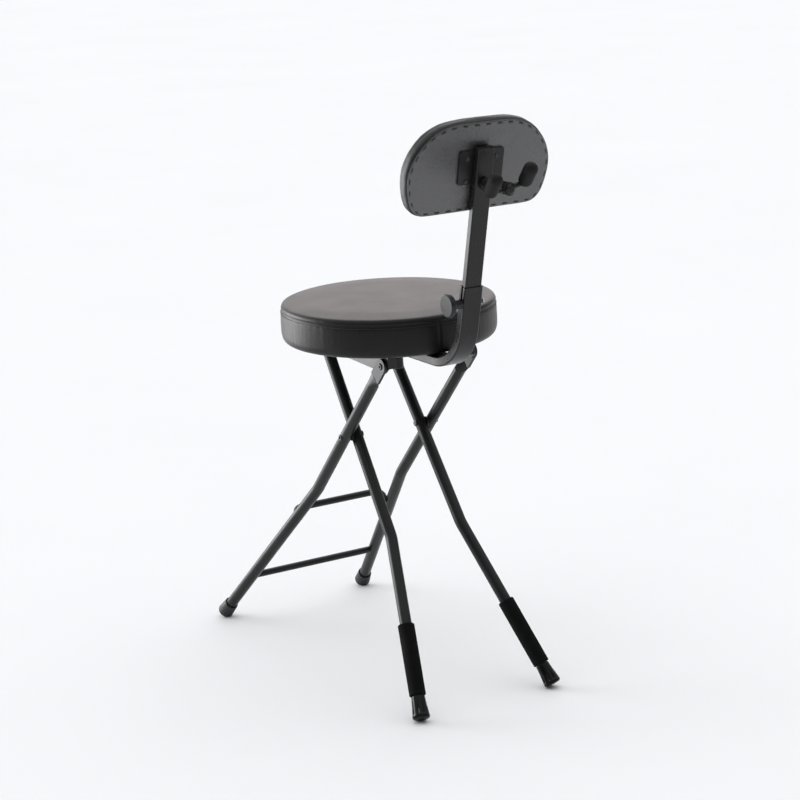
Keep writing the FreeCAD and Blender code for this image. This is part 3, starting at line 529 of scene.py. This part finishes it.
BOX_SEAM = math.radians(86.8)
for v in seat.data.vertices:
    x, y, z = v.co / MM
    r = math.hypot(x, y)
    if r < 90 or z < 610:
        continue
    a = math.atan2(y, x)
    out = Vector((x / r, y / r, 0))
    edge = smooth_step(r, 168, 186)
    d = 0.0
    # sewn seam round the rim, its topstitch below, and the upright joint of the side band
    d -= edge * (0.9 * bell(z - SEAM_Z, 1.5) + 0.28 * bell(z - (SEAM_Z - 4.2), 1.3))
    da = (a - BOX_SEAM + math.pi) % (2 * math.pi) - math.pi
    if z < SEAM_Z:
        d -= edge * 0.85 * bell(da * 190, 1.9)
        d += edge * 0.35 * bell(da * 190 - 4.5, 2.6)
    # gathered puckers below and above the seam, fading down the band
    u = Vector((math.cos(a) * 13.0, math.sin(a) * 13.0, z * 0.006))
    u2 = Vector((math.cos(a) * 31.0, math.sin(a) * 31.0, z * 0.012))
    gather = 0.55 + 0.45 * noise.noise(Vector((math.cos(a) * 2.2, math.sin(a) * 2.2, 3.1)))
    below = smooth_step(z, 606, 653) * (1 - smooth_step(z, 660.5, 665.5))
    above = bell(z - 670.5, 3.5)
    d += edge * gather * (0.42 * below + 0.3 * above) * (noise.noise(u2) * 0.9 + noise.noise(u) * 0.8)
    # fine upright creases where the band is drawn tight
    u3 = Vector((math.cos(a) * 62.0, math.sin(a) * 62.0, z * 0.012))
    drawn = smooth_step(noise.noise(Vector((math.cos(a) * 3.4, math.sin(a) * 3.4, 8.2))), -0.25, 0.35)
    d += edge * 0.16 * drawn * noise.noise(u3) * smooth_step(z, 608, 622) * (1 - 0.5 * smooth_step(z, 664, 672))
    # slow unevenness of the foam under the cover
    d += edge * 0.6 * noise.noise(Vector((math.cos(a) * 3.0, math.sin(a) * 3.0, z * 0.02)))
    v.co += out * (d * MM)
for v in seat.data.vertices:
    x, y, z = v.co / MM
    if z > 670:
        r = math.hypot(x, y)
        soft = 1 - smooth_step(r, 150, 186)
        v.co.z += MM * soft * (0.14 * noise.noise(Vector((x * 0.012, y * 0.012, 0.4))) + 0.05 * noise.noise(Vector((x * 0.04, y * 0.04, 5.4))))
seat.data.update()
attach(seat, "seat")
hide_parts("seat_cushion")

runs = []
pitch = 5.2
count = int(2 * math.pi * 190 / pitch)
for k in range(count):
    a0 = 2 * math.pi * k / count
    a1 = a0 + 3.5 / 190
    ps = []
    for a in (a0, a1):
        ps.append(Vector((190.35 * math.cos(a), 190.35 * math.sin(a), SEAM_Z - 4.2)) * MM)
    am = (a0 + a1) / 2
    runs.append((ps[0], ps[1], Vector((math.cos(am), math.sin(am), 0))))
stitch = dashes("seat_stitching", runs, 0.42 * MM, M_THREAD)
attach(stitch, "seat")

# ---------------------------------------------------------------- backrest
LEAN = math.radians(13.7)
S = Vector((0, math.sin(LEAN), math.cos(LEAN)))
NRM = Vector((0, math.cos(LEAN), -math.sin(LEAN)))
MOUTH = Vector((0, 279.546, 740.070))
HALF = [(0, 129), (50, 129), (92, 129.2), (108, 131), (119.5, 137.5), (128, 149), (134, 167), (137.5, 187),
        (137.2, 206), (132.3, 224.5), (123, 242.5), (110, 258.3), (95, 270.3), (78, 278.6), (60, 283), (40, 284.8)]
LOOP = HALF + [(0, 285)] + [(-x, w) for x, w in reversed(HALF[1:])]


def catmull(loop, per):
    out = []
    k = len(loop)
    for i in range(k):
        p0, p1, p2, p3 = (Vector((*loop[(i + d) % k], 0)) for d in (-1, 0, 1, 2))
        for j in range(per):
            f = j / per
            out.append(0.5 * ((2 * p1) + (p2 - p0) * f + (2 * p0 - 5 * p1 + 4 * p2 - p3) * f * f + (3 * p1 - p0 - 3 * p2 + p3) * f ** 3))
    return out


FINE = catmull(LOOP, 24)
LENS = [0.0]
for i in range(len(FINE)):
    LENS.append(LENS[-1] + (FINE[(i + 1) % len(FINE)] - FINE[i]).length)
ROUND = LENS[-1]


def rim_at(t):
    """Outline point and inward direction at a share of its length."""
    s = (t % 1.0) * ROUND
    lo, hi = 0, len(FINE)
    while hi - lo > 1:
        mid = (lo + hi) // 2
        if LENS[mid] <= s:
            lo = mid
        else:
            hi = mid
    f = (s - LENS[lo]) / (LENS[lo + 1] - LENS[lo])
    a, b = FINE[lo], FINE[(lo + 1) % len(FINE)]
    tan = (b - a).normalized()
    return a + (b - a) * f, Vector((-tan.y, tan.x, 0))


MID = Vector((0, 205, 0))


def back_at(p, depth):
    return (MOUTH + Vector((p.x, 0, 0)) + S * p.y + NRM * depth) * MM


def inset(t, d):
    p, inn = rim_at(t)
    return p + inn * d


def pad_front(rho, t):
    p = inset(t, 17.0)
    p = MID + (p - MID) * rho
    return back_at(p, -(42.6 + 3.0 * (1 - rho ** 2.2)))


def pad_rear(rho, t):
    p = inset(t, 5.5)
    p = MID + (p - MID) * rho
    return back_at(p, -11.7)


def pad_ring(d, depth):
    return lambda t: back_at(inset(t, d), -depth)


PAD_SIDE = [(13.0, 42.0), (9.2, 40.9), (6.0, 39.1), (3.6, 36.9), (1.9, 34.3), (0.9, 31.4), (0.5, 28.4), (0.9, 26.2), (0.4, 24.0),
            (0.2, 21.4), (0.3, 18.9), (0.8, 16.6), (1.7, 14.6), (3.0, 13.0)]
pad = cushion_mesh("back_cover", 48, pad_front, [pad_ring(d, z) for d, z in PAD_SIDE], pad_rear, M_BACK)


def local_back(c):
    q = c / MM - MOUTH
    return q.x, q.dot(S), q.dot(NRM)


inflate(pad, lambda c: local_back(c)[2] > -17.5, 3.0, 0.0016)
refine(pad)
for v in pad.data.vertices:
    x, w, depth = local_back(v.co)
    if depth < -13:
        k = smooth_step(-depth, 14, 20)
        d = 0.45 * noise.noise(Vector((x * 0.05, w * 0.05, depth * 0.06))) + 0.3 * noise.noise(Vector((x * 0.16, w * 0.16, depth * 0.05)))
        flat = Vector((x, w - 205, 0)).normalized()
        v.co += (Vector((flat.x, 0, 0)) + S * flat.y) * (d * k * MM)
pad.data.update()
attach(pad, "backrest")
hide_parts("back_pad")

# rear panel: skin drawn tight over the board, pulled in along a line of long stitches
STITCH_IN = 6.4
STITCH_N = 34
RINGS = [2.2, 2.6, 3.1, 3.7, 4.3, 4.9, 5.4, 5.9, 6.4, 6.9, 7.4, 8.0, 9.0, 10.6, 12.4, 14.4]
AROUND = 480


def pulse(t):
    """1 in a stitch, 0 between stitches."""
    f = (t * STITCH_N) % 1.0
    return smooth_step(f, 0.12, 0.24) * (1 - smooth_step(f, 0.6, 0.72))


def panel_depth(d, t, p):
    edge = 1 - smooth_step(d, 2.2, 5.4)
    z = 9.75 + 2.0 * edge ** 1.6
    z += 0.35 * bell(d - STITCH_IN, 2.4) + pulse(t) * 0.9 * bell(d - STITCH_IN, 1.5)
    clear = 1 - (1 - smooth_step(abs(p.x), 44, 66)) * (1 - smooth_step(abs(p.y - 208), 31, 50))
    wav = noise.noise(Vector((p.x * 0.09, p.y * 0.09, 2.0)))
    z -= clear * (1.7 * smooth_step(d, 9, 40) + 0.35 * wav * bell(d - 14, 7) + 0.15 * noise.noise(Vector((p.x * 0.03, p.y * 0.03, 7.0))))
    return -z


verts, faces = [], []
for d in RINGS:
    for k in range(AROUND):
        t = k / AROUND
        p = inset(t, d)
        verts.append(back_at(p, panel_depth(d, t, p)))
for r in range(len(RINGS) - 1):
    for k in range(AROUND):
        j = (k + 1) % AROUND
        a = r * AROUND
        faces.append((a + k, a + j, a + AROUND + j, a + AROUND + k))
inner = [inset(k / AROUND, RINGS[-1]) for k in range(AROUND)]
last = (len(RINGS) - 1) * AROUND
for f in (0.97, 0.935, 0.895, 0.85, 0.8, 0.74, 0.67, 0.59, 0.5, 0.41, 0.32, 0.23, 0.14, 0.06):
    start = len(verts)
    for k in range(AROUND):
        p = MID + (inner[k] - MID) * f
        verts.append(back_at(p, panel_depth(RINGS[-1] + 75 * (1 - f), k / AROUND, p)))
    for k in range(AROUND):
        j = (k + 1) % AROUND
        faces.append((last + k, last + j, start + j, start + k))
    last = start
centre = len(verts)
verts.append(back_at(MID, -9.75))
for k in range(AROUND):
    faces.append((last + k, last + (k + 1) % AROUND, centre))
# closed front side of the skin, against the board
start = len(verts)
for k in range(AROUND):
    verts.append(back_at(inset(k / AROUND, RINGS[0]), -11.62))
for k in range(AROUND):
    j = (k + 1) % AROUND
    faces.append((start + k, start + j, j, k))
centre = len(verts)
verts.append(back_at(MID, -11.62))
for k in range(AROUND):
    faces.append((start + (k + 1) % AROUND, start + k, centre))
panel = new_object("back_skin", verts, faces, M_PANEL)
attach(panel, "backrest")
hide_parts("back_panel")

runs = []
for k in range(STITCH_N):
    t0, t1 = (k + 0.16) / STITCH_N, (k + 0.68) / STITCH_N
    steps = 3
    pa, pb = inset(t0, STITCH_IN), inset(t1, STITCH_IN)
    runs.append((back_at(pa, -10.7), back_at(pb, -10.7), NRM.copy()))
thread_back = dashes("back_stitching", runs, 0.5 * MM, M_THREAD, 0.5)
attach(thread_back, "backrest")

# ---------------------------------------------------------------- fluted rear feet
K2 = Vector((71.8, 97.4, 272.6))
F2 = Vector((137.2, 288.2, 0))
down = (F2 - K2).normalized()
flat_part = math.hypot(down.x, down.y)
FR, FRND, CUT = 15.4, 3.0, 1.2
z_end = (FR - FRND) * flat_part + FRND * (1 + down.z) - CUT
E2 = F2 - down * (z_end / -down.z)


def flute(a, z):
    z /= MM
    k = smooth_step(z, 6.8, 9.0) * (1 - smooth_step(z, 12.0, 29.0))
    return 1 - 0.15 * k * (0.5 + 0.5 * math.cos(8 * a)) ** 2.5


for side, sx in (("left", 1), ("right", -1)):
    prof = [(0.0, 0.25), (9.8, 0.25), (11.9, 0.36), (13.5, 1.05), (14.6, 2.15), (15.2, 3.5), (15.38, 4.8), (15.3, 5.9), (15.1, 6.8),
            (14.95, 7.6), (14.8, 8.6), (14.62, 10.0), (14.4, 12.0), (14.1, 14.5), (13.75, 17.5), (13.35, 21.5), (12.95, 25.5), (12.6, 29.5),
            (12.3, 33.0), (12.1, 36.0), (11.95, 38.2), (11.8, 39.3), (11.5, 40.1), (11.1, 40.42), (10.6, 40.45), (10.55, 34.0), (10.55, 20.0),
            (10.55, 4.4), (0.0, 4.3)]
    b0 = Vector((E2.x * sx, E2.y, E2.z)) * MM
    dr = Vector((-down.x * sx, -down.y, -down.z))
    foot = lathe("rear_cap_" + side, [(r * MM, z * MM) for r, z in prof], b0, dr, M_GLOSS, 144, flute)
    for v in foot.data.vertices:
        if v.co.z < 0.0:
            v.co.z = 0.0
    foot.data.update()
    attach(foot, "rear_frame")
    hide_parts("rear_foot_" + side)

# ---------------------------------------------------------------- stage
floor_mat = Mat("floor_pale")
tone = floor_mat.ramp(floor_mat.noise(1.3, 3.0), [(0.3, (0.90, 0.905, 0.915)), (0.7, (0.915, 0.92, 0.93))])
floor_mat = floor_mat.done(tone, None, Roughness=0.9, Specular_IOR_Level=0.0)
half = 70.0
floor = new_object("floor", [(-half, -half, 0), (half, -half, 0), (half, half, 0), (-half, half, 0)], [(0, 1, 2, 3)], floor_mat, False)

world = bpy.data.worlds.new("studio")
scene.world = world
world.use_nodes = True
wt = world.node_tree
bg = wt.nodes["Background"]
bg.inputs["Strength"].default_value = 1.0
aim = wt.nodes.new("ShaderNodeTexCoord").outputs["Generated"]

# soft boxes round the room: (direction, half-width where it starts to fade, where it ends, radiance)
WHITE, WARM = (0.975, 0.985, 1.0), (1.05, 0.925, 0.915)
BOXES = [((-0.1, -0.28, 1.0), 36, 88, 1.08, WHITE), ((-0.46, -0.86, 0.22), 12, 40, 0.92, WARM), ((0.60, -0.80, 0.10), 8, 26, 6.0, WHITE),
         ((-0.86, 0.46, 0.16), 6, 32, 0.14, WHITE)]


def vec(kind):
    n = wt.nodes.new("ShaderNodeVectorMath")
    n.operation = kind
    return n


total = None
for d, inner_deg, outer_deg, power, tint in BOXES:
    dot = vec("DOT_PRODUCT")
    dot.inputs[1].default_value = Vector(d).normalized()
    wt.links.new(aim, dot.inputs[0])
    ease = wt.nodes.new("ShaderNodeMapRange")
    ease.interpolation_type = "SMOOTHSTEP"
    ease.inputs["From Min"].default_value = math.cos(math.radians(outer_deg))
    ease.inputs["From Max"].default_value = math.cos(math.radians(inner_deg))
    ease.inputs["To Min"].default_value = 0.0
    ease.inputs["To Max"].default_value = power
    wt.links.new(dot.outputs["Value"], ease.inputs["Value"])
    glow = vec("SCALE")
    glow.inputs[0].default_value = tint
    wt.links.new(ease.outputs["Result"], glow.inputs["Scale"])
    add = vec("ADD")
    wt.links.new(glow.outputs[0], add.inputs[0])
    if total is None:
        add.inputs[1].default_value = tuple(0.07 * c for c in WHITE)
    else:
        wt.links.new(total, add.inputs[1])
    total = add.outputs[0]
# behind the floor's edge the backdrop is plain and as pale as the floor
path = wt.nodes.new("ShaderNodeLightPath")
drop = wt.nodes.new("ShaderNodeMix")
drop.data_type = "RGBA"
wt.links.new(path.outputs["Is Camera Ray"], drop.inputs[0])
wt.links.new(total, drop.inputs[6])
drop.inputs[7].default_value = (0.956, 0.965, 0.99, 1.0)
wt.links.new(drop.outputs[2], bg.inputs["Color"])

sun = bpy.data.lights.new("top_soft", "SUN")
sun.energy = 0.12
sun.angle = math.radians(60)
sun_o = bpy.data.objects.new("top_soft", sun)
sun_o.rotation_euler = Vector((0.28, -0.05, -1.0)).to_track_quat("-Z", "Y").to_euler()
scene.collection.objects.link(sun_o)

# strip light beside the stool, for the sheen only
strip = bpy.data.lights.new("side_sheen", "AREA")
strip.shape = "RECTANGLE"
strip.size, strip.size_y = 1.7, 1.1
strip.energy = 4.6 * math.pi * strip.size * strip.size_y
strip_o = bpy.data.objects.new("side_sheen", strip)
strip_o.location = (1.135, -1.263, 0.56)
strip_o.rotation_euler = (Vector((0, 0, 0.56)) - strip_o.location).to_track_quat("-Z", "Y").to_euler()
strip_o.visible_camera = False
strip_o.visible_diffuse = False
scene.collection.objects.link(strip_o)

cam = bpy.data.cameras.new("photo_view")
cam.lens = 106.42
cam.sensor_fit = "HORIZONTAL"
cam.sensor_width = 36.0
cam.clip_end = 400.0
cam_o = bpy.data.objects.new("photo_view", cam)
right = Vector((-0.85879239, 0.51037065, -0.04469267))
up = Vector((-0.16229729, -0.18827444, 0.96861361))
back = Vector((0.48593747, 0.83909149, 0.24452043))
cam_o.matrix_world = Matrix((
    (right.x, up.x, back.x, 2.0357059), (right.y, up.y, back.y, 3.5408591), (right.z, up.z, back.z, 1.5195618), (0, 0, 0, 1)))
scene.collection.objects.link(cam_o)
scene.camera = cam_o
scene.view_settings.view_transform = "Standard"
scene.view_settings.look = "None"

bpy.context.view_layer.update()
